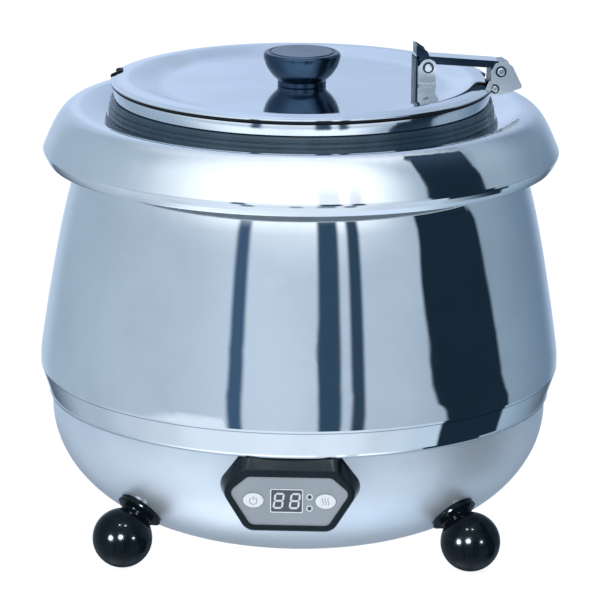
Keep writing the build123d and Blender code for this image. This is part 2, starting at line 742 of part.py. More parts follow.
# ---------------------------------------------------------------- lid
lid_inside = left_of(lid_profile, -sheet)[:-2] + [(144.2, 347.85), (lid_r - sheet, lid_lip_z)]
lid_inside[0] = (lid_profile[0][0], lid_floor_z - sheet)
notch_at = polar(notch_rho, notch_az, 0)
with BuildPart() as lid_panel:
    with BuildSketch(Plane.XZ):
        with BuildLine():
            Line((0, lid_floor_z), lid_profile[0])
            Spline(*lid_profile, tangents=[(1, 0), (0, -1)])
            Line(lid_profile[-1], (lid_r, lid_lip_z))
            Line((lid_r, lid_lip_z), lid_inside[-1])
            Spline(*reversed(lid_inside))
            Line(lid_inside[0], (0, lid_floor_z - sheet))
            Line((0, lid_floor_z - sheet), (0, lid_floor_z))
        make_face()
    revolve(axis=Axis.Z)
    # ladle notch, with room for its trim
    with BuildSketch(Plane.XY.offset(346)):
        with Locations(notch_at[:2]):
            Circle(notch_r + notch_rim)
    extrude(amount=8, mode=Mode.SUBTRACT)
    # hinge cut-out
    with BuildSketch(Plane.XY.offset(346)):
        with Locations(polar(150.5, hinge_az, 0)[:2]):
            Rectangle(20, 30, rotation=hinge_az)
    extrude(amount=8, mode=Mode.SUBTRACT)
    # knob screw hole
    with BuildSketch(Plane.XY.offset(340)):
        Circle(2.7)
    extrude(amount=8, mode=Mode.SUBTRACT)
save(lid_panel, "lid_panel")

trim_top = left_of(lid_profile[5:-1], 1.2)
with BuildPart() as notch_trim:
    with BuildSketch(Plane.XZ):
        with BuildLine():
            Polyline((134.0, 346.2), (146.9, 346.2), (147.2, 348.6), (146.8, 349.3), trim_top[-1])
            Spline(*reversed(trim_top))
            Polyline(trim_top[0], (133.0, 349.6), (134.0, 346.2))
        make_face()
    revolve(axis=Axis.Z)
    with BuildSketch(Plane.XY.offset(340)):
        with Locations(notch_at[:2]):
            Circle(notch_r + notch_rim)
            Circle(notch_r, mode=Mode.SUBTRACT)
    extrude(amount=20, mode=Mode.INTERSECT)
save(notch_trim, "notch_trim")

with BuildPart() as lid_seal:
    with BuildSketch(Plane.XZ):
        with BuildLine():
            Polyline((139.0, 345.7), (145.7, 345.7), (145.7, lid_lip_z), (144.9, lid_lip_z),
                     (144.0, 347.8), (141.4, 348.4), (139.0, 348.4), close=True)
        make_face()
    revolve(axis=Axis.Z)
    with BuildSketch(Plane.XY.offset(344)):
        with Locations(notch_at[:2]):
            Circle(notch_r + notch_rim)
        with Locations(polar(150.5, hinge_az, 0)[:2]):
            Rectangle(20, 30, rotation=hinge_az)
    extrude(amount=8, mode=Mode.SUBTRACT)
save(lid_seal, "lid_seal")

knob_bowl = [                    # outside of the knob's bowl, upwards
    (18.6, 348.8), (20.0, 350.4), (22.0, 352.3), (24.0, 354.6), (25.8, 357.2), (27.3, 359.8),
    (28.5, 363.0), (29.3, 366.0), (29.5, 367.6), (29.2, 369.2), (28.2, 370.3)]
with BuildPart() as lid_knob:
    with BuildSketch(Plane.XZ):
        with BuildLine():
            Polyline((0, lid_floor_z), (18.0, lid_floor_z), (18.6, lid_floor_z + 0.6), knob_bowl[0])
            Spline(*knob_bowl)
            Polyline(knob_bowl[-1], (27.4, 370.6), (25.4, 370.6), (25.0, 369.9), (24.4, 369.9),
                     (24.0, 370.6), (23.6, knob_top_z), (0, knob_top_z), (0, lid_floor_z))
        make_face()
    revolve(axis=Axis.Z)
    with BuildSketch(Plane.XY.offset(340)):
        Circle(2.5)
    extrude(amount=18, mode=Mode.SUBTRACT)
save(lid_knob, "lid_knob")

with BuildPart() as knob_screw:
    with BuildSketch(Plane.XZ):
        with BuildLine():
            Polyline((0, 340.4), (4.2, 340.4), (5.0, 341.2), (5.0, lid_floor_z - sheet),
                     (2.5, lid_floor_z - sheet), (2.5, 357.0), (0, 357.0), close=True)
        make_face()
    revolve(axis=Axis.Z)
save(knob_screw, "knob_screw")

with BuildPart() as lid_bracket:
    # foot on the lid, and the upright web that faces the knob
    with BuildSketch(hinge):
        with BuildLine():
            Polyline((86.4, lid_floor_z), (101.8, lid_floor_z), (101.8, lid_floor_z + 1.5),
                     (87.9, lid_floor_z + 1.5), (87.9, 365.6), (86.4, 365.6), close=True)
        make_face()
    extrude(amount=plate_out, both=True)
    # side flanges of the foot
    with BuildSketch(hinge):
        with BuildLine():
            Polyline((88.0, lid_floor_z), (101.8, lid_floor_z), (101.8, lid_floor_z + 1.5),
                     (88.0, lid_floor_z + 1.5), close=True)
        make_face()
    extrude(amount=plate_out + 2.8, both=True)
    # ears
    for sign in (1, -1):
        with BuildSketch(hinge.offset(sign * plate_in)):
            with BuildLine():
                Polyline((87.4, lid_floor_z), (101.8, lid_floor_z), (101.8, lid_pin_z),
                         (89.4, lid_pin_z + 2.0), (87.4, lid_pin_z), close=True)
            make_face()
            with Locations((lid_pin_rho, lid_pin_z)):
                Circle(6.6)
                Circle(pin_r + pin_play, mode=Mode.SUBTRACT)
        extrude(amount=sign * (plate_out - plate_in))
save(lid_bracket, "lid_bracket")
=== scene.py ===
"""Electric soup kettle: looks, stage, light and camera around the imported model."""

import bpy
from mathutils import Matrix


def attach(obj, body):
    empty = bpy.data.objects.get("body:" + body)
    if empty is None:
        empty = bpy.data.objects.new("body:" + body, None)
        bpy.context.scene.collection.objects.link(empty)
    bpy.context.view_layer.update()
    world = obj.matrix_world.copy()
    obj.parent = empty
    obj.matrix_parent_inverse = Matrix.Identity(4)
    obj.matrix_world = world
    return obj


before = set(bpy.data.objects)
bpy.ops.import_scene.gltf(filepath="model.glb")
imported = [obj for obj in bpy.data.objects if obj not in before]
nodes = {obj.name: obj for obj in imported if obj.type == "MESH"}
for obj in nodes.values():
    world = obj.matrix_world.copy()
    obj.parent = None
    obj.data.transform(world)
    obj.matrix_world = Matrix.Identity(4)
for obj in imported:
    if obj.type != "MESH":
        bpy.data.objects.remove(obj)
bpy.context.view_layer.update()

import math
import bpy
import bmesh
from mathutils import Quaternion, Vector

scene = bpy.context.scene
MM = 0.001


def lin(r, g, b):
    """Display colour (0-255) to the linear values that shaders use."""
    out = []
    for v in (r, g, b):
        v /= 255.0
        out.append(v / 12.92 if v <= 0.04045 else ((v + 0.055) / 1.055) ** 2.4)
    return tuple(out) + (1.0,)


# ------------------------------------------------------------------ node helpers
class Graph:
    """Small helper around a node tree."""

    def __init__(self, tree):
        self.tree = tree
        self.n = tree.nodes
        self.x = -1800

    def add(self, kind, **props):
        node = self.n.new(kind)
        node.location = (self.x, 0)
        self.x += 60
        for k, v in props.items():
            setattr(node, k, v)
        return node

    def link(self, a, b):
        self.tree.links.new(a, b)

    def put(self, socket, value):
        if hasattr(value, "is_linked"):
            self.link(value, socket)
        else:
            socket.default_value = value

    def math(self, op, a, b=None, c=None, clamp=False):
        node = self.add("ShaderNodeMath", operation=op, use_clamp=clamp)
        self.put(node.inputs[0], a)
        if b is not None:
            self.put(node.inputs[1], b)
        if c is not None:
            self.put(node.inputs[2], c)
        return node.outputs[0]

    def remap(self, v, a, b, lo, hi, kind="SMOOTHSTEP"):
        node = self.add("ShaderNodeMapRange", interpolation_type=kind)
        node.clamp = True
        self.put(node.inputs["Value"], v)
        for k, x in (("From Min", a), ("From Max", b), ("To Min", lo), ("To Max", hi)):
            self.put(node.inputs[k], x)
        return node.outputs["Result"]

    def mix(self, f, a, b, kind="MIX"):
        node = self.add("ShaderNodeMix", data_type="RGBA", blend_type=kind)
        self.put(node.inputs[0], f)
        self.put(node.inputs[6], a)
        self.put(node.inputs[7], b)
        return node.outputs[2]

    def ramp(self, f, stops, kind="EASE"):
        node = self.add("ShaderNodeValToRGB")
        r = node.color_ramp
        r.interpolation = kind
        while len(r.elements) > 1:
            r.elements.remove(r.elements[-1])
        r.elements[0].position = stops[0][0]
        r.elements[0].color = stops[0][1]
        for p, c in stops[1:]:
            r.elements.new(p).color = c
        self.put(node.inputs[0], f)
        return node.outputs["Color"]

    def noise(self, vec, scale, detail=3.0, rough=0.5, dist=0.0):
        node = self.add("ShaderNodeTexNoise")
        if vec is not None:
            self.link(vec, node.inputs["Vector"])
        node.inputs["Scale"].default_value = scale
        node.inputs["Detail"].default_value = detail
        node.inputs["Roughness"].default_value = rough
        node.inputs["Distortion"].default_value = dist
        return node.outputs["Fac"]

    def vec(self, x, y, z):
        node = self.add("ShaderNodeCombineXYZ")
        for i, v in enumerate((x, y, z)):
            self.put(node.inputs[i], v)
        return node.outputs[0]


def material(name):
    m = bpy.data.materials.new(name)
    m.use_nodes = True
    g = Graph(m.node_tree)
    bsdf = m.node_tree.nodes["Principled BSDF"]
    return m, g, bsdf


def place(g):
    """Object coordinates, which are the shared frame in metres, and their parts."""
    tc = g.add("ShaderNodeTexCoord")
    sep = g.add("ShaderNodeSeparateXYZ")
    g.link(tc.outputs["Object"], sep.inputs[0])
    return tc.outputs["Object"], sep.outputs[0], sep.outputs[1], sep.outputs[2]


def bump(g, bsdf, height, strength, distance, under=None):
    node = g.add("ShaderNodeBump")
    node.inputs["Strength"].default_value = strength
    node.inputs["Distance"].default_value = distance
    g.link(height, node.inputs["Height"])
    if under is not None:
        g.link(under, node.inputs["Normal"])
    g.link(node.outputs[0], bsdf.inputs["Normal"])
    return node.outputs[0]


def spun(g, fine=2600.0):
    """Fine circular marks around the Z axis, as left by spinning and polishing."""
    p, x, y, z = place(g)
    turn = g.math("ARCTAN2", y, x)
    rho = g.math("SQRT", g.math("ADD", g.math("MULTIPLY", x, x), g.math("MULTIPLY", y, y)))
    v = g.vec(g.math("MULTIPLY", turn, 2.2), g.math("MULTIPLY", rho, fine), g.math("MULTIPLY", z, fine))
    return p, g.noise(v, 1.0, 4.0, 0.62)


def steel_polished(name, tint, low, high, lines, step=None):
    """Mirror polished sheet; step is the height of a fine pressed step around it. A painted shade darkens the inside of
    the step, and a painted shade band darkens the foot where the casing meets the pan.
    """
    m, g, b = material(name)
    p, rings = spun(g)
    smudge = g.noise(p, 14.0, 4.0, 0.55, 0.6)
    fine = g.noise(p, 420.0, 2.0, 0.5)
    b.inputs["Metallic"].default_value = 1.0
    shade = tuple(c * 0.93 for c in tint[:3]) + (1.0,)
    colour = g.mix(g.remap(smudge, 0.35, 0.7, 0.0, 1.0), tint, shade)
    if step is not None:
        q, x, y, z = place(g)
        # painted shade: the inside angle of the pressed step is darkened, as if in shade
        painted_step_shade = g.math("MULTIPLY", g.remap(z, step - 0.0010, step - 0.0004, 0.0, 1.0), g.remap(z, step - 0.0001, step + 0.0003, 1.0, 0.0))
        colour = g.mix(painted_step_shade, colour, (0.30, 0.38, 0.47, 1.0))
        # painted shade: a grey band along the foot, where the casing meets the pan, stands in for the shadow gap there
        colour = g.mix(g.remap(z, 0.1058, 0.1066, 0.8, 0.0), colour, (0.34, 0.41, 0.48, 1.0))
    g.link(colour, b.inputs["Base Color"])
    rough = g.math("ADD", g.remap(smudge, 0.3, 0.75, low, high), g.math("MULTIPLY", g.math("SUBTRACT", fine, 0.5), 0.02))
    g.link(g.math("MAXIMUM", rough, 0.012), b.inputs["Roughness"])
    bump(g, b, rings, lines, 0.00004)
    return m


def steel_collar(name, tint, low, high, lines):
    """The collar: polished outside; the side that faces the casing is painted pale white and matt, painted light that
    the casing's top shows as a bright band in its mirror.
    """
    m, g, b = material(name)
    p, rings = spun(g)
    q, x, y, z = place(g)
    tc = g.add("ShaderNodeTexCoord")
    sep = g.add("ShaderNodeSeparateXYZ")
    g.link(tc.outputs["Normal"], sep.inputs[0])
    out = g.math("ADD", g.math("MULTIPLY", x, sep.outputs[0]), g.math("MULTIPLY", y, sep.outputs[1]))
    # under: the side facing the casing, painted pale white as painted light
    under = g.math("MULTIPLY", g.remap(out, -0.03, -0.012, 1.0, 0.0), g.remap(sep.outputs[2], 0.1, 0.4, 1.0, 0.0))
    smudge = g.noise(p, 14.0, 4.0, 0.55, 0.6)
    g.link(g.math("SUBTRACT", 1.0, under), b.inputs["Metallic"])
    shade = tuple(c * 0.93 for c in tint[:3]) + (1.0,)
    bright = g.mix(g.remap(smudge, 0.35, 0.7, 0.0, 1.0), tint, shade)
    g.link(g.mix(under, bright, (0.93, 0.96, 0.985, 1.0)), b.inputs["Base Color"])
    g.link(g.math("ADD", g.remap(smudge, 0.3, 0.75, low, high), g.math("MULTIPLY", under, 0.42)), b.inputs["Roughness"])
    bump(g, b, rings, lines, 0.00004)
    return m


def steel_satin(name, tint, low, high, lines, metal=1.0):
    m, g, b = material(name)
    p, rings = spun(g, 3400.0)
    cloud = g.noise(p, 9.0, 5.0, 0.6, 0.4)
    b.inputs["Metallic"].default_value = metal
    shade = tuple(c * 0.9 for c in tint[:3]) + (1.0,)
    g.link(g.mix(g.remap(cloud, 0.32, 0.72, 0.0, 1.0), tint, shade), b.inputs["Base Color"])
    g.link(g.math("ADD", g.remap(cloud, 0.3, 0.75, low, high), g.math("MULTIPLY", g.math("SUBTRACT", rings, 0.5), 0.10)),
           b.inputs["Roughness"])
    bump(g, b, rings, lines, 0.0001)
    return m


def steel_plain(name, tint, low, high, grain=380.0, lines=0.12):
    """Pressed or turned small steel parts: straight fine grain, slightly uneven gloss."""
    m, g, b = material(name)
    p, x, y, z = place(g)
    v = g.vec(g.math("MULTIPLY", x, 0.12), y, z)
    streak = g.noise(v, grain * 6, 3.0, 0.6)
    cloud = g.noise(p, 60.0, 3.0, 0.5)
    b.inputs["Metallic"].default_value = 1.0
    shade = tuple(c * 0.86 for c in tint[:3]) + (1.0,)
    g.link(g.mix(g.remap(cloud, 0.35, 0.7, 0.0, 1.0), tint, shade), b.inputs["Base Color"])
    g.link(g.math("ADD", g.remap(cloud, 0.3, 0.75, low, high), g.math("MULTIPLY", g.math("SUBTRACT", streak, 0.5), 0.08)),
           b.inputs["Roughness"])
    bump(g, b, streak, lines, 0.00006)
    return m


def plastic(name, tint, low, high, peel=900.0, strength=0.06, depth=0.00006, vary=0.25, coat=0.0, level=0.5, gleam=(1.0, 1.0, 1.0, 1.0), metal=0.0):
    """Moulded plastic or rubber: slight mottling, uneven gloss and a fine surface texture."""
    m, g, b = material(name)
    p, x, y, z = place(g)
    cloud = g.noise(p, 45.0, 3.0, 0.55)
    grain = g.noise(p, peel, 2.0, 0.55)
    shade = tuple(c * (1.0 - vary) for c in tint[:3]) + (1.0,)
    g.link(g.mix(g.remap(cloud, 0.33, 0.68, 0.0, 1.0), tint, shade), b.inputs["Base Color"])
    g.link(g.math("ADD", g.remap(cloud, 0.3, 0.7, low, high), g.math("MULTIPLY", g.math("SUBTRACT", grain, 0.5), 0.05)),
           b.inputs["Roughness"])
    b.inputs["Metallic"].default_value = metal
    b.inputs["Coat Weight"].default_value = coat
    b.inputs["Coat Roughness"].default_value = 0.06
    b.inputs["Specular IOR Level"].default_value = level
    b.inputs["Specular Tint"].default_value = gleam
    bump(g, b, grain, strength, depth)
    return m


HINGE_AZ = math.radians(9.0)


def along_hinge(g):
    """Distance from the axis along the hinge's direction, and height, in metres."""
    p, x, y, z = place(g)
    u = g.math("ADD", g.math("MULTIPLY", x, math.cos(HINGE_AZ)), g.math("MULTIPLY", y, math.sin(HINGE_AZ)))
    return p, x, y, z, u


def hinge_steel(name, low, high, shade_painted_below=None):
    """Pressed bracket steel, satin; on the lid's bracket, the part that faces the knob is painted dark, a painted
    shade.
    """
    m, g, b = material(name)
    p, x, y, z, u = along_hinge(g)
    v = g.vec(g.math("MULTIPLY", x, 0.1), y, g.math("MULTIPLY", z, 1.0))
    streak = g.noise(v, 2400.0, 3.0, 0.6)
    cloud = g.noise(p, 70.0, 3.0, 0.5)
    b.inputs["Metallic"].default_value = 1.0
    tint = g.mix(g.remap(cloud, 0.3, 0.7, 0.0, 1.0), (0.90, 0.94, 0.97, 1), (0.80, 0.84, 0.88, 1))
    if shade_painted_below is not None:
        # painted shade: the part of the lid's bracket that faces the knob is darkened
        tint = g.mix(g.remap(u, shade_painted_below - 0.0004, shade_painted_below + 0.0004, 1.0, 0.0), tint, (0.030, 0.050, 0.080, 1))
    g.link(tint, b.inputs["Base Color"])
    g.link(g.math("ADD", g.remap(cloud, 0.3, 0.75, low, high), g.math("MULTIPLY", g.math("SUBTRACT", streak, 0.5), 0.10)), b.inputs["Roughness"])
    bump(g, b, streak, 0.12, 0.00006)
    return m


def arm_steel(name):
    """The hinge arm: its flanges and tab are dark blued steel whose darkness also stands in as a painted reflection of
    dark surroundings; its upper face, where it faces up, is painted bright, a painted highlight.
    """
    m, g, b = material(name)
    p, x, y, z, u = along_hinge(g)
    tc = g.add("ShaderNodeTexCoord")
    sep = g.add("ShaderNodeSeparateXYZ")
    g.link(tc.outputs["Normal"], sep.inputs[0])
    cloud = g.noise(p, 90.0, 3.0, 0.55)
    streak = g.noise(g.vec(g.math("MULTIPLY", x, 0.1), y, z), 2200.0, 3.0, 0.6)
    # painted highlight: the face that looks up is painted bright
    top = g.math("MULTIPLY", g.remap(sep.outputs[2], 0.55, 0.8, 0.0, 1.0), g.remap(u, 0.094, 0.099, 0.0, 1.0))
    b.inputs["Metallic"].default_value = 1.0
    # the blued colour, which on the flanges and tab is also a painted dark reflection
    dark = g.mix(g.remap(cloud, 0.3, 0.7, 0.0, 1.0), (0.050, 0.085, 0.130, 1), (0.030, 0.052, 0.082, 1))
    g.link(g.mix(top, dark, (0.85, 0.89, 0.93, 1)), b.inputs["Base Color"])
    g.link(g.math("ADD", g.remap(cloud, 0.3, 0.75, 0.16, 0.30), g.math("MULTIPLY", g.math("SUBTRACT", streak, 0.5), 0.08)), b.inputs["Roughness"])
    bump(g, b, streak, 0.12, 0.00006)
    return m


def rivet_steel(name, rho, height, edge):
    """A riveted pin: bright domed head in a dark ring painted round it, a painted shade."""
    m, g, b = material(name)
    p, x, y, z, u = along_hinge(g)
    du = g.math("SUBTRACT", u, rho * MM)
    dz = g.math("SUBTRACT", z, height * MM)
    d = g.math("SQRT", g.math("ADD", g.math("MULTIPLY", du, du), g.math("MULTIPLY", dz, dz)))
    # painted shade: a dark ring round the head
    ring = g.remap(d, (edge - 0.25) * MM, (edge + 0.05) * MM, 0.0, 1.0)
    fine = g.noise(p, 1600.0, 3.0, 0.6)
    b.inputs["Metallic"].default_value = 1.0
    bright = g.mix(g.remap(fine, 0.3, 0.7, 0.0, 1.0), (0.86, 0.89, 0.92, 1), (0.74, 0.78, 0.82, 1))
    g.link(g.mix(ring, bright, (0.050, 0.075, 0.105, 1)), b.inputs["Base Color"])
    g.link(g.math("ADD", g.remap(ring, 0.0, 1.0, 0.20, 0.34), g.math("MULTIPLY", g.math("SUBTRACT", fine, 0.5), 0.08)), b.inputs["Roughness"])
    bump(g, b, fine, 0.10, 0.00005)
    return m


STEEL = (0.835, 0.875, 0.915, 1.0)
mats = {
    "body": steel_polished("polished_casing", STEEL, 0.028, 0.060, 0.05, 0.1259),
    "collar": steel_collar("polished_collar", STEEL, 0.035, 0.070, 0.05),
    "lid": steel_polished("polished_lid", STEEL, 0.050, 0.090, 0.06),
    "band": steel_polished("polished_pot", STEEL, 0.060, 0.110, 0.10),
    "pan": steel_satin("satin_pan", (0.82, 0.89, 0.97, 1.0), 0.34, 0.44, 0.08, 0.76),
    "well": steel_satin("satin_bath", (0.72, 0.75, 0.79, 1.0), 0.28, 0.40, 0.20),
    "hinge": hinge_steel("pressed_hinge_steel", 0.26, 0.38, shade_painted_below=0.0880),
    "plate": hinge_steel("pressed_bracket_steel", 0.30, 0.42),
    "arm": arm_steel("arm_steel_blued_with_painted_light"),
    "pin_clip": rivet_steel("rivet_clip", 147.9, 341.4, 2.62),
    "pin_arm": rivet_steel("rivet_arm", 152.5, 354.8, 3.12),
    "pin_lid": rivet_steel("rivet_lid", 96.0, 358.8, 3.12),
    "zinc": steel_plain("zinc_plated_steel", (0.70, 0.71, 0.70, 1.0), 0.25, 0.40),
    "dark_steel": steel_plain("heater_sheath", (0.36, 0.32, 0.29, 1.0), 0.35, 0.55),
    "cast": steel_plain("cast_heater_plate", (0.62, 0.63, 0.64, 1.0), 0.45, 0.60, 240.0, 0.3),
    "gloss": plastic("glossy_black_moulding", (0.0045, 0.0085, 0.0125, 1.0), 0.10, 0.17, 700.0, 0.04, 0.00005, 0.3, 0.0, 0.12, (0.70, 0.88, 1.0, 1.0)),
    "knob": plastic("glossy_knob", (0.047, 0.087, 0.145, 1.0), 0.16, 0.24, 700.0, 0.04, 0.00005, 0.15, metal=1.0),
    "bezel": plastic("glossy_bezel", (0.0045, 0.0085, 0.0125, 1.0), 0.12, 0.20, 700.0, 0.04, 0.00005, 0.3, 0.0, 0.34, (0.76, 0.92, 1.0, 1.0)),
    "ring": plastic("black_rim_moulding", (0.032, 0.064, 0.096, 1.0), 0.22, 0.32, 1400.0, 0.12, 0.00008, 0.3, 0.0, 0.7, (0.80, 0.92, 1.0, 1.0)),
    "rubber": plastic("black_rubber", (0.0050, 0.0072, 0.0100, 1.0), 0.48, 0.62, 1800.0, 0.25, 0.0001, 0.3, 0.0, 0.3),
    "matte": plastic("black_matte_moulding", (0.020, 0.021, 0.023, 1.0), 0.42, 0.56, 1600.0, 0.22, 0.0001, 0.25),
    "fascia": plastic("grey_fascia", lin(159, 167, 175), 0.34, 0.46, 2600.0, 0.14, 0.00005, 0.06),
    "window": plastic("dark_window", lin(78, 84, 94), 0.05, 0.09, 500.0, 0.01, 0.00003, 0.12, 0.4),
    "white": plastic("white_button", lin(238, 242, 246), 0.30, 0.42, 2200.0, 0.08, 0.00005, 0.03),
    "lamp": plastic("smoked_lamp", lin(70, 76, 86), 0.06, 0.12, 900.0, 0.02, 0.00003, 0.12, 0.5),
    "print": plastic("white_print", lin(232, 238, 244), 0.38, 0.48, 3000.0, 0.08, 0.00003, 0.04),
    "digit": plastic("display_segment", lin(222, 229, 238), 0.25, 0.35, 2600.0, 0.04, 0.00002, 0.04),
    "icon": plastic("grey_print", lin(178, 180, 184), 0.40, 0.50, 3000.0, 0.08, 0.00003, 0.06),
    "board": plastic("lacquered_board", (0.012, 0.075, 0.030, 1.0), 0.20, 0.32, 900.0, 0.10, 0.0001, 0.3),
    "relay": plastic("relay_case", (0.012, 0.045, 0.19, 1.0), 0.30, 0.42, 1200.0, 0.1, 0.00008, 0.15),
    "cream": plastic("terminal_block", (0.60, 0.54, 0.42, 1.0), 0.38, 0.50, 1200.0, 0.12, 0.00008, 0.1),
    "lead": plastic("woven_lead", (0.16, 0.055, 0.028, 1.0), 0.62, 0.78, 2400.0, 0.5, 0.0002, 0.35),
}

wear = {
    "body_shell": "body", "collar": "collar", "lid_panel": "lid", "inner_pot": "band", "pot_floor": "band", "base_pan": "pan", "water_well": "well",
    "rim_clip": "plate", "hinge_bracket": "plate", "hinge_arm": "arm", "lid_bracket": "hinge",
    "clip_pin": "pin_clip", "arm_pivot_pin": "pin_arm", "lid_pivot_pin": "pin_lid",
    "heater_plate": "cast", "heater_element": "dark_steel", "temperature_probe": "dark_steel", "heater_nuts": "zinc",
    "tie_studs": "zinc", "tie_nuts": "zinc", "thermal_cutout": "zinc", "board_screws": "zinc", "foot_screws": "zinc",
    "foot_washers": "zinc", "knob_screw": "zinc",
    "rim_ring": "ring", "lid_seal": "rubber", "notch_trim": "rubber", "lid_knob": "knob", "control_bezel": "bezel",
    "front_left_foot": "gloss", "front_right_foot": "gloss", "rear_left_foot": "gloss", "rear_right_foot": "gloss",
    "control_fascia": "fascia", "display_window": "window", "display_module": "matte", "indicator_lights": "lamp",
    "power_button": "white", "set_button": "white", "control_board": "board", "power_relay": "relay",
    "button_switches": "matte", "cord_gland": "matte", "gland_nut": "matte", "terminal_block": "cream",
    "supply_leads": "lead", "heater_leads": "lead",
}
for name, obj in nodes.items():
    obj.data.materials.clear()
    obj.data.materials.append(mats[wear[name]])


def soften(name, width, segments=2, angle=35.0):
    """A small edge radius on a pressed or moulded piece."""
    mod = nodes[name].modifiers.new("edge", "BEVEL")
    mod.width = width
    mod.segments = segments
    mod.limit_method = "ANGLE"
    mod.angle_limit = math.radians(angle)
    mod.harden_normals = False


# ------------------------------------------------------------------ printed and shown details on the panel
def flat_piece(name, outlines, y, thick, body, mat):
    """Thin raised shapes on the panel. outlines: list of (outer, [holes]) in mm (x, z), seen from the front; y is the
    front of what carries them, in mm."""
    me = bpy.data.meshes.new(name)
    bm = bmesh.new()
    for outer, inner in outlines:
        if inner:
            rings = [[bm.verts.new((px * MM, y * MM, pz * MM)) for px, pz in loop] for loop in (outer, inner)]
            n = len(outer)
            for i in range(n):
                j = (i + 1) % n
                bm.faces.new((rings[0][i], rings[0][j], rings[1][j], rings[1][i]))
        else:
            bm.faces.new([bm.verts.new((px * MM, y * MM, pz * MM)) for px, pz in outer])
    bmesh.ops.recalc_face_normals(bm, faces=bm.faces)
    for f in bm.faces:
        if f.normal.y > 0:
            f.normal_flip()
    back = [f for f in bm.faces]
    out = bmesh.ops.extrude_face_region(bm, geom=back)
    moved = [v for v in out["geom"] if isinstance(v, bmesh.types.BMVert)]
    bmesh.ops.translate(bm, verts=moved, vec=(0, -thick * MM, 0))
    bmesh.ops.recalc_face_normals(bm, faces=bm.faces)
    bm.to_mesh(me)
    bm.free()
    me.materials.append(mat)
    o = bpy.data.objects.new(name, me)
    scene.collection.objects.link(o)
    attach(o, body)
    return o


def ring_loop(cx, cz, rx, rz, n=48, a0=0.0):
    return [(cx + rx * math.cos(a0 + 2 * math.pi * i / n), cz + rz * math.sin(a0 + 2 * math.pi * i / n)) for i in range(n)]


def round_rect(cx, cz, w, h, r, n=6):
    pts = []
    for sx, sz, a in ((1, 1, 0), (-1, 1, 90), (-1, -1, 180), (1, -1, 270)):
        for i in range(n + 1):
            t = math.radians(a + 90.0 * i / n)
            pts.append((cx + sx * (w / 2 - r) + r * math.cos(t), cz + sz * (h / 2 - r) + r * math.sin(t)))
    return pts


def band_path(points, width, closed=False):
    """Outline of a line of even width with rounded ends, along points."""
    left, right = [], []
    n = len(points)
    for i, (x, z) in enumerate(points):
        x0, z0 = points[i - 1] if (i or closed) else points[0]
        x1, z1 = points[(i + 1) % n] if (i < n - 1 or closed) else points[-1]
        dx, dz = x1 - x0, z1 - z0
        d = math.hypot(dx, dz) or 1.0
        nx, nz = -dz / d * width / 2, dx / d * width / 2
        left.append((x + nx, z + nz))
        right.append((x - nx, z - nz))

    def cap(p, q):
        cx, cz = (p[0] + q[0]) / 2, (p[1] + q[1]) / 2
        a = math.atan2(p[1] - cz, p[0] - cx)
        return [(cx + width / 2 * math.cos(a - math.pi * k / 6), cz + width / 2 * math.sin(a - math.pi * k / 6)) for k in range(1, 6)]

    return left + cap(left[-1], right[-1]) + right[::-1] + cap(right[0], left[0])


WINDOW = (-2.1, 73.4, 23.6, 17.6)
BUTTON = (26.6, 73.5)
LAMPS = ((14.8, 76.6), (14.8, 67.8))

# light line printed around the display
frame_line = flat_piece("display_frame_line", [(round_rect(WINDOW[0], WINDOW[1], 24.4, 18.4, 1.5), round_rect(WINDOW[0], WINDOW[1], 22.7, 16.8, 0.9))],
                        -196.5, 0.12, "kettle", mats["print"])

# seven-segment digits, slanted
def segment_digit(cx, cz, w=7.7, h=12.4, t=1.5, gap=0.16, slant=0.14):
    """The seven lit bars of one digit, as outlines."""
    x0, x1 = -w / 2 + t / 2, w / 2 - t / 2
    z0, zm, z1 = -h / 2 + t / 2, 0.0, h / 2 - t / 2
    bars = [((x0, z1), (x1, z1)), ((x0, zm), (x1, zm)), ((x0, z0), (x1, z0)),
            ((x0, zm), (x0, z1)), ((x1, zm), (x1, z1)), ((x0, z0), (x0, zm)), ((x1, z0), (x1, zm))]
    out = []
    for (ax, az), (bx, bz) in bars:
        d = math.hypot(bx - ax, bz - az)
        ux, uz = (bx - ax) / d, (bz - az) / d
        nx, nz = -uz, ux
        s, e = gap, d - gap
        k = t / 2
        pts = [(s, 0), (s + k, k), (e - k, k), (e, 0), (e - k, -k), (s + k, -k)]
        loop = []
        for u, v in pts:
            x, z = ax + u * ux + v * nx, az + u * uz + v * nz
            loop.append((cx + x + z * slant, cz + z))
        out.append((loop, None))
    return out


digits = flat_piece("display_digits", segment_digit(-7.9, 73.4) + segment_digit(4.0, 73.4), -196.5, 0.10, "kettle", mats["digit"])

lamp_rings = flat_piece("lamp_rings", [(ring_loop(x, z, 2.4, 2.4), ring_loop(x, z, 1.25, 1.25)) for x, z in LAMPS],
                        -196.2, 0.12, "kettle", mats["print"])

# power symbol on the left button, rising steam on the right one
px, pz = -BUTTON[0], BUTTON[1]
arc = [(px + 2.7 * math.sin(math.radians(a)), pz - 0.3 + 2.7 * math.cos(math.radians(a))) for a in range(38, 323, 12)]
power_icon = flat_piece("power_symbol", [(band_path(arc, 0.75), None), (band_path([(px, pz + 0.4), (px, pz + 3.0)], 0.75), None)],
                        -197.2, 0.06, "power_button", mats["icon"])
waves = []
for k in (-2.1, 0.0, 2.1):
    waves.append((band_path([(BUTTON[0] + k + 0.55 * math.sin(t * 1.55), BUTTON[1] - 2.5 + t * 1.25) for t in [i * 0.25 for i in range(17)]], 0.7), None))
set_icon = flat_piece("steam_symbol", waves, -197.2, 0.06, "set_button", mats["icon"])

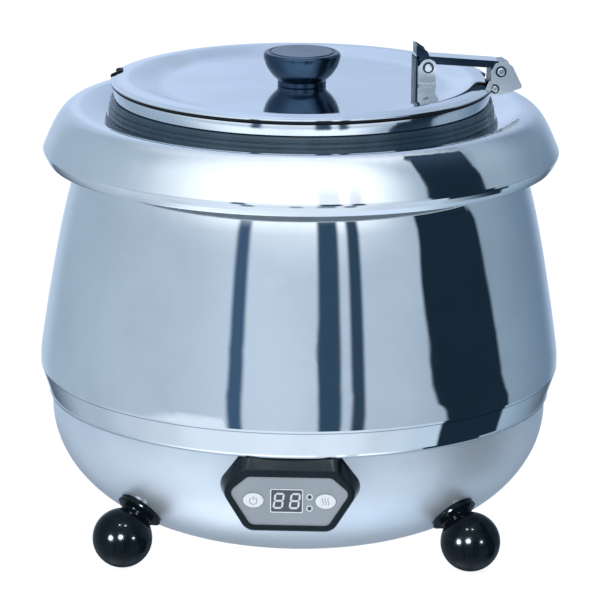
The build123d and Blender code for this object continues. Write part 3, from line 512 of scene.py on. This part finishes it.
# ------------------------------------------------------------------ stage
me = bpy.data.meshes.new("floor")
bm = bmesh.new()
bmesh.ops.create_circle(bm, cap_ends=True, radius=14.0, segments=96)
bm.to_mesh(me)
bm.free()
floor = bpy.data.objects.new("floor", me)
scene.collection.objects.link(floor)
m, g, b = material("pale_floor")
b.inputs["Base Color"].default_value = (0.20, 0.205, 0.21, 1)
b.inputs["Roughness"].default_value = 0.9
b.inputs["Specular IOR Level"].default_value = 0.0
b.inputs["Emission Color"].default_value = (1, 1, 1, 1)
b.inputs["Emission Strength"].default_value = 0.93
me.materials.append(m)
floor.visible_glossy = False

# ------------------------------------------------------------------ soft studio surroundings
world = bpy.data.worlds.new("studio")
scene.world = world
world.use_nodes = True
g = Graph(world.node_tree)
tc = g.add("ShaderNodeTexCoord")
sep = g.add("ShaderNodeSeparateXYZ")
g.link(tc.outputs["Generated"], sep.inputs[0])
wx, wy, wz = sep.outputs
az = g.math("MULTIPLY", g.math("ARCTAN2", wx, g.math("MULTIPLY", wy, -1.0)), 180.0 / math.pi)     # 0 in front, + to the right
az = g.math("SUBTRACT", az, 0.7)
el = g.math("MULTIPLY", g.math("ARCSINE", wz), 180.0 / math.pi)
turn = g.remap(az, -180.0, 180.0, 0.0, 1.0, "LINEAR")


def at(a):
    return (a + 180.0) / 360.0


# the same directions, named by the lean and the bearing of a mirror that shows them to the camera
pitch, swing = math.radians(14.8), math.radians(1.7)
hx = g.math("ADD", wx, math.sin(swing) * math.cos(pitch))
hy = g.math("SUBTRACT", wy, math.cos(swing) * math.cos(pitch))
hz = g.math("ADD", wz, math.sin(pitch))
side = g.math("ADD", g.math("MULTIPLY", hx, math.cos(swing)), g.math("MULTIPLY", hy, math.sin(swing)))
fore = g.math("SUBTRACT", g.math("MULTIPLY", hx, math.sin(swing)), g.math("MULTIPLY", hy, math.cos(swing)))
span = g.math("SQRT", g.math("ADD", g.math("MULTIPLY", side, side), g.math("MULTIPLY", fore, fore)))
facing = g.math("MULTIPLY", g.math("ARCTAN2", side, fore), 180.0 / math.pi)
lean = g.math("MULTIPLY", g.math("ARCTAN2", hz, span), 180.0 / math.pi)


walls = g.ramp(turn, [
    (at(-180), (0.53, 0.65, 0.87, 1)), (at(-175), (0.62, 0.75, 0.98, 1)), (at(-158), (0.50, 0.62, 0.78, 1)), (at(-138), (0.39, 0.49, 0.60, 1)),
    (at(-60), (0.50, 0.60, 0.71, 1)), (at(-12), (0.60, 0.705, 0.83, 1)), (at(45), (0.48, 0.58, 0.69, 1)),
    (at(100), (0.27, 0.36, 0.45, 1)), (at(145), (0.17, 0.25, 0.345, 1)), (at(172), (0.46, 0.57, 0.76, 1)), (at(180), (0.53, 0.65, 0.87, 1))])
# brighter above eye level at the front: a large soft box over the camera
front = g.math("MULTIPLY", g.remap(az, -95.0, -35.0, 0.0, 1.0), g.remap(az, 30.0, 62.0, 1.0, 0.0))
lift = g.math("MULTIPLY", g.remap(el, 8.0, 31.0, 0.0, 1.0), front)
sky = g.mix(lift, walls, (1.30, 1.38, 1.45, 1))
over = g.remap(el, 38.0, 80.0, 0.0, 1.0)
sky = g.mix(g.math("MULTIPLY", over, 0.85), sky, (1.15, 1.22, 1.30, 1))
# white table top in front and to the left, greyer to the right, dim under the back of the pan
table = g.ramp(turn, [
    (at(-180), (0.36, 0.45, 0.54, 1)), (at(-118), (0.46, 0.55, 0.66, 1)), (at(-98), (0.58, 0.67, 0.78, 1)), (at(-76), (0.68, 0.77, 0.87, 1)),
    (at(-56), (0.83, 0.93, 1.04, 1)), (at(32), (0.83, 0.93, 1.04, 1)), (at(49), (0.68, 0.77, 0.88, 1)), (at(80), (0.57, 0.71, 0.84, 1)), (at(135), (0.31, 0.43, 0.55, 1)),
    (at(180), (0.36, 0.45, 0.54, 1))])
near = g.ramp(turn, [
    (at(-180), (0.34, 0.42, 0.51, 1)), (at(-125), (1.04, 1.14, 1.26, 1)), (at(-95), (1.22, 1.32, 1.44, 1)), (at(-40), (1.00, 1.10, 1.22, 1)),
    (at(30), (0.84, 0.95, 1.08, 1)), (at(80), (0.78, 0.94, 1.12, 1)), (at(135), (0.70, 0.88, 1.06, 1)), (at(180), (0.34, 0.42, 0.51, 1))])
table = g.mix(g.remap(el, -64.0, -52.0, 1.0, 0.0), table, near)
behind = g.math("MULTIPLY", g.remap(g.math("ABSOLUTE", az), 125.0, 165.0, 0.0, 1.0), g.remap(el, -78.0, -50.0, 0.0, 1.0))
table = g.mix(behind, table, (0.10, 0.14, 0.19, 1))
# the table reaches a little higher on the left of the camera
leaf = g.math("MULTIPLY", g.math("MULTIPLY", g.remap(az, -84.0, -46.0, 0.0, 1.0), g.remap(az, -33.0, -30.0, 1.0, 0.0)), 5.5)
sky = g.mix(g.remap(g.math("SUBTRACT", el, leaf), -20.5, -16.5, 1.0, 0.0), sky, table)


def bearing(stops, height=None):
    """A direction in degrees that changes with the height in degrees."""
    height = el if height is None else height
    return g.math("MULTIPLY", g.ramp(g.remap(height, -90.0, 90.0, 0.0, 1.0, "LINEAR"),
                                     [((e + 90.0) / 180.0, (v / 200.0,) * 3 + (1.0,)) for e, v in stops], "LINEAR"), 200.0)


def flag(colour_in, a0, a1, soft, dark, el0, el1, a=None):
    """A dark upright panel between two directions and two heights."""
    a = az if a is None else a
    mask = g.math("MULTIPLY", g.remap(a, a0 - soft, a0 + soft, 0.0, 1.0), g.remap(a, a1 - soft, a1 + soft, 1.0, 0.0))
    mask = g.math("MULTIPLY", mask, g.remap(el, el1 - 8.0, el1 + 8.0, 1.0, 0.0))
    mask = g.math("MULTIPLY", mask, g.remap(el, el0 - 3.0, el0 + 3.0, 0.0, 1.0))
    return g.mix(mask, colour_in, dark)


sky = flag(sky, -30.0, -23.5, 1.4, (0.055, 0.11, 0.19, 1), -46.0, 26.0)
sky = flag(sky, 9.5, 19.5, 1.2, (0.034, 0.075, 0.125, 1), -46.0, 30.0)
sky = flag(sky, 24.0, 30.0, 1.2, (0.030, 0.062, 0.105, 1), -46.0, 30.0)
sky = flag(sky, -4.5, 2.0, 1.2, (0.055, 0.10, 0.16, 1), -46.0, -30.0)
# the dark panel on the right, which leans over towards the back
left_edge = bearing([(-90, 92), (-52, 88), (-45, 82.5), (-10, 67), (0, 60.5), (5, 59.5), (10, 60.5), (25.8, 61.2), (35, 60.5), (45, 66), (55, 82),
                     (58, 95), (60, 115), (61, 200), (90, 200)])
right_edge = bearing([(-90, 122), (-35, 121), (-20, 110), (-8, 103.5), (0, 98), (5, 97), (18, 93.5), (26, 92), (38, 103), (50, 119.6), (57, 128),
                      (61, 130), (90, 130)])
dark = g.math("MULTIPLY", g.remap(g.math("SUBTRACT", az, left_edge), -1.2, 1.2, 0.0, 1.0),
              g.remap(g.math("SUBTRACT", az, right_edge), -1.2, 1.2, 1.0, 0.0))
dark = g.math("MULTIPLY", dark, g.remap(lean, -21.7, -20.8, 0.0, 1.0))
# its upper part, as the collar shows it
high_left = bearing([(-90, 30.4), (14, 30.4), (25, 29.0), (30, 27.5), (35, 26.8), (42, 26.0), (90, 25.5)], lean)
high_right = bearing([(-90, 47.3), (14, 47.3), (25, 45.0), (28.5, 43.4), (35, 42.5), (90, 42.5)], lean)
high_end = g.math("ADD", g.math("MULTIPLY", facing, -0.40), 67.0)
high = g.math("MULTIPLY", g.remap(g.math("SUBTRACT", facing, high_left), -0.5, 0.5, 0.0, 1.0),
              g.remap(g.math("SUBTRACT", facing, high_right), -0.5, 0.5, 1.0, 0.0))
high = g.math("MULTIPLY", high, g.remap(g.math("SUBTRACT", lean, high_end), -2.5, 2.5, 1.0, 0.0))
up = g.remap(lean, 18.0, 21.5, 0.0, 1.0)
dark = g.math("ADD", g.math("MULTIPLY", dark, g.math("SUBTRACT", 1.0, up)), g.math("MULTIPLY", high, up))
# the wall beyond it is paler higher up
pale = g.math("MULTIPLY", g.remap(facing, 42.0, 46.0, 0.0, 1.0), g.math("MULTIPLY", g.remap(lean, 16.0, 32.0, 0.0, 0.65), g.remap(facing, 50.0, 64.0, 1.0, 0.25)))
sky = g.mix(pale, sky, (0.43, 0.54, 0.645, 1))
sky = g.mix(dark, sky, g.mix(g.remap(lean, 24.0, 48.0, 0.0, 1.0), (0.011, 0.024, 0.040, 1), (0.036, 0.064, 0.105, 1)))

bg = world.node_tree.nodes["Background"]
lp = g.add("ShaderNodeLightPath")
shown = g.mix(lp.outputs["Is Camera Ray"], sky, (1.0, 1.0, 1.0, 1))
g.link(shown, bg.inputs["Color"])
bg.inputs["Strength"].default_value = 1.0


balls = bpy.data.collections.new("black_feet")
sparkle = bpy.data.collections.new("black_mouldings")
for name in ("front_left_foot", "front_right_foot", "rear_left_foot", "rear_right_foot"):
    balls.objects.link(nodes[name])
    sparkle.objects.link(nodes[name])
sparkle.objects.link(nodes["control_bezel"])


def lamp(name, azim, elev, reach, size, power, onto):
    """A small round studio lamp that gives the black mouldings, and only them, their sparkle."""
    light = bpy.data.lights.new(name, "AREA")
    light.shape = "DISK"
    light.size = size
    light.energy = power
    o = bpy.data.objects.new(name, light)
    a, e = math.radians(azim), math.radians(elev)
    aim = Vector((0, 0, 0.15))
    o.location = aim + reach * Vector((math.sin(a) * math.cos(e), -math.cos(a) * math.cos(e), math.sin(e)))
    o.rotation_euler = (aim - o.location).to_track_quat("-Z", "Y").to_euler()
    scene.collection.objects.link(o)
    o.light_linking.receiver_collection = onto
    o.visible_diffuse = False
    return o


lamp("lamp_left", -43.0, 8.0, 2.6, 0.30, 150.0, balls)
lamp("lamp_middle", -5.5, 16.0, 2.6, 0.30, 150.0, balls)
lamp("lamp_right", 44.0, 8.5, 2.6, 0.22, 60.0, balls)
lamp("glow_left", -43.0, 8.0, 2.7, 0.80, 240.0, balls)
lamp("glow_middle", -5.5, 16.0, 2.7, 0.80, 240.0, balls)
lamp("lamp_top_left", -20.0, 61.0, 2.6, 0.20, 24.0, sparkle)
lamp("lamp_top_right", 20.0, 61.0, 2.6, 0.20, 24.0, sparkle)

scene.view_settings.view_transform = "Standard"

# ------------------------------------------------------------------ camera
cam = bpy.data.cameras.new("camera")
cam.sensor_width = 36.0
cam.lens = 240.0
cam.clip_end = 60.0
camera = bpy.data.objects.new("camera", cam)
scene.collection.objects.link(camera)
roll, reach = math.radians(0.6), 3.104
aim = Vector((0.0004, 0.0, 0.1744))
camera.location = aim + reach * Vector((math.sin(swing) * math.cos(pitch), -math.cos(swing) * math.cos(pitch), math.sin(pitch)))
camera.rotation_euler = ((aim - camera.location).to_track_quat("-Z", "Y") @ Quaternion((0, 0, 1), roll)).to_euler()
scene.camera = camera
